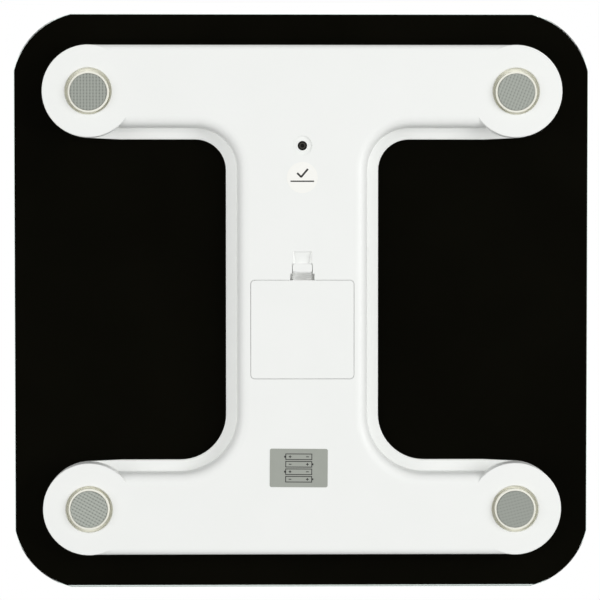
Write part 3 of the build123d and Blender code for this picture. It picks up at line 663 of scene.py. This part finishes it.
ink_thickness = 0.00002
ink = mottled_finish(
    "black_ink", (0.010, 0.010, 0.009), (0.020, 0.020, 0.018), patch=0.001, roughness=0.6,
)
label_turn = radians(0.4)
drawn_pitch = 0.0039
drawn_length = 0.0135
drawn_height = 0.0029
drawn_line = 0.00042
drawn_sign = 0.0014
nub_x = drawn_length / 2 + drawn_line
sign_x = drawn_length / 3
bars = []
for row in range(cell_count):
    row_y = (row - (cell_count - 1) / 2) * drawn_pitch
    nub_way = 1 if row % 2 else -1
    for side in (-1, 1):
        edge_y = row_y + side * drawn_height / 2
        bars.append((0, edge_y, drawn_length + drawn_line, drawn_line, 0.0))
        bars.append((side * drawn_length / 2, row_y, drawn_line, drawn_height, 0.0))
        bars.append((side * sign_x, row_y, drawn_sign, drawn_line, 0.0))
    bars.append((nub_way * nub_x, row_y, 2 * drawn_line, drawn_height / 3, 0.0))
    bars.append((nub_way * sign_x, row_y, drawn_line, drawn_sign, 0.0))
low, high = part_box("rating_label")
drawing = printed_bars(
    "label_drawing", bars, (low + high) / 2, low.z - ink_thickness, low.z, label_turn,
)
drawing.data.materials.append(ink)
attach(drawing, "base")

rule_length = 0.0122
rule_line = 0.0007
tick_short = 0.0030
tick_long = 0.0056
tick_line = 0.0010
bars = [
    (0, -0.0019, rule_length, rule_line, 0.0),
    (0.0016, 0.0013, tick_short, tick_line, radians(45)),
    (-0.0011, 0.0023, tick_long, tick_line, radians(-50)),
]
low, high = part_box("inspection_sticker")
tick = printed_bars("sticker_tick", bars, (low + high) / 2, low.z - ink_thickness, low.z)
tick.data.materials.append(ink)
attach(tick, "base")

# Floor: a plain pale sheet that the scale stands on.
# Seen from above it takes the shadow; from below it isn't there, and it never stops light.
floor_side = 6.0
floor_drop = 0.0003
floor_grey = (0.86, 0.86, 0.86, 1)
floor_mesh = bpy.data.meshes.new("floor")
half = floor_side / 2
floor_corners = ((-half, -half), (half, -half), (half, half), (-half, half))
floor_mesh.from_pydata([(x, y, -floor_drop) for x, y in floor_corners], [], [(0, 1, 2, 3)])
floor = bpy.data.objects.new("floor", floor_mesh)
bpy.context.scene.collection.objects.link(floor)
floor_finish = node_finish("pale_floor", roughness=0.9, Specular_IOR_Level=0.0)
floor_shader = shader_of(floor_finish)
floor_shader.inputs["Base Color"].default_value = floor_grey
seen = add_node(floor_finish, "LightPath").outputs["Is Camera Ray"]
behind = add_node(floor_finish, "NewGeometry").outputs["Backfacing"]
above = calculated(floor_finish, "SUBTRACT", 1.0, behind)
shown = calculated(floor_finish, "MULTIPLY", seen, above)
passing = add_node(floor_finish, "BsdfTransparent").outputs["BSDF"]
laid = add_node(
    floor_finish, "MixShader", {"Fac": shown, 1: passing, 2: floor_shader.outputs["BSDF"]},
)
floor_output = floor_finish.node_tree.nodes["Material Output"]
floor_finish.node_tree.links.new(laid.outputs["Shader"], floor_output.inputs["Surface"])
floor.data.materials.append(floor_finish)

# Studio: white surroundings, even light from all round, and large soft lamps.
# The lamps under the scale stand at the two sides of the picture, the stronger one on the right.
# The lamps over it aren't mirrored in the glass.
surround_level = 0.46
world = bpy.data.worlds.new("studio")
bpy.context.scene.world = world
world.use_nodes = True
paths = add_node(world, "LightPath").outputs
mirrored = calculated(world, "MAXIMUM", paths["Is Camera Ray"], paths["Is Glossy Ray"])
plain_view = calculated(world, "MAXIMUM", mirrored, paths["Is Transmission Ray"])
level = add_node(
    world, "MapRange", {"Value": plain_view, "To Min": surround_level, "To Max": 1.0},
)
background = world.node_tree.nodes["Background"]
background.inputs["Color"].default_value = (1, 1, 1, 1)
world.node_tree.links.new(level.outputs["Result"], background.inputs["Strength"])
bpy.context.scene.cycles.diffuse_bounces = 12

lamps = {
    "under_key": ((-1.9, 0.25, -1.5), 1.4, 32.0),
    "under_fill": ((1.9, 0.1, -1.5), 1.6, 21.5),
    "over_key": ((0.9, -1.2, 2.0), 1.4, 27.0),
    "over_fill": ((-1.4, 0.8, 1.8), 1.6, 17.0),
}
for name, (place, side, watts) in lamps.items():
    lamp = bpy.data.lights.new(name, "AREA")
    lamp.size = side
    lamp.energy = watts
    holder = bpy.data.objects.new(name, lamp)
    holder.location = place
    holder.rotation_euler = (-Vector(place)).to_track_quat("-Z", "Y").to_euler()
    holder.visible_camera = False
    holder.visible_glossy = holder.location.z < 0
    bpy.context.scene.collection.objects.link(holder)

# Camera: a long lens under the scale, looking up almost squarely.
# The display end is at the top of the picture.
camera_place = Vector((0.0217, 0.0479, -1.350))
camera_target = Vector((0.00084, 0.00103, 0.010))
picture_top = Vector((0.0, 1.0, 0.0))
camera = bpy.data.cameras.new("camera")
camera.sensor_width = 36.0
camera.lens = 157.0
camera.clip_start = 0.01
camera_holder = bpy.data.objects.new("camera", camera)
ahead = (camera_target - camera_place).normalized()
right = ahead.cross(picture_top).normalized()
up = right.cross(ahead)
camera_turn = Matrix((right, up, -ahead)).transposed().to_4x4()
camera_holder.matrix_world = Matrix.Translation(camera_place) @ camera_turn
bpy.context.scene.collection.objects.link(camera_holder)
bpy.context.scene.camera = camera_holder
bpy.context.scene.view_settings.view_transform = "Standard"
